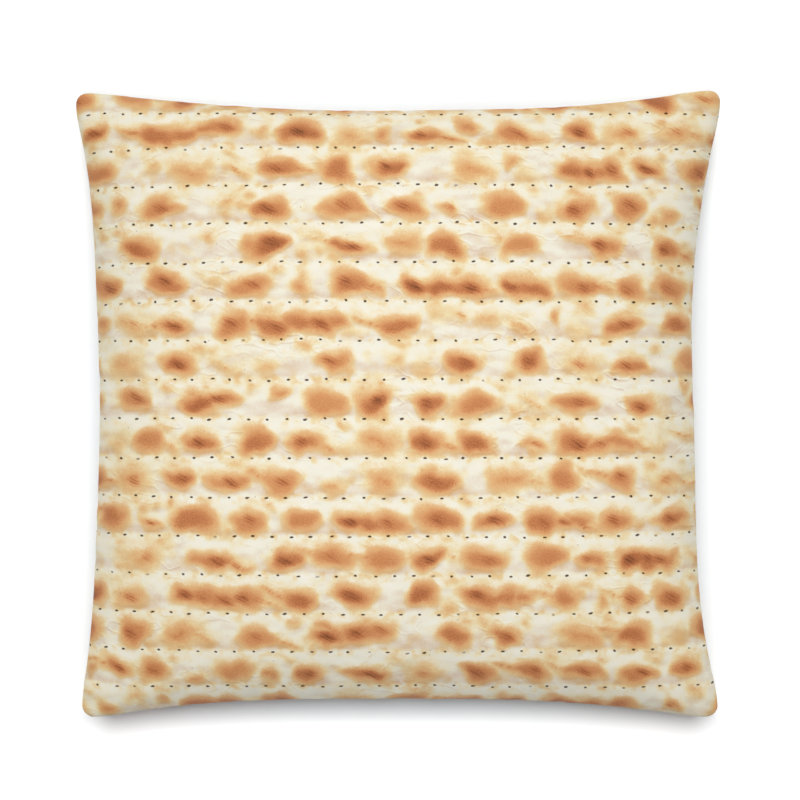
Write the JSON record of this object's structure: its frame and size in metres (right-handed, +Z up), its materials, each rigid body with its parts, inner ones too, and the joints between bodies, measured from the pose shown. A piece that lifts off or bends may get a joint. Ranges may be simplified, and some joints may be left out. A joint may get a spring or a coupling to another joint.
{
  "type": "throw pillow",
  "caption": "Square stuffed throw pillow with knife-edge seams, sides that bow in between its corners, and a cover printed all over with rows of toasted flatbread.",
  "frame": {"origin": "centre of the pillow in plan, at the height of the flat patch it rests on", "axes": "+Z up out of the printed front face, +Y towards the top edge of the print, +X towards its right edge"},
  "size_m": [0.4524, 0.4401, 0.117],
  "materials": {
    "printed_cloth": "matt woven polyester, printed all over"
  },
  "bodies": {
    "root": {"cushion": "printed_cloth"}
  },
  "joints": []
}
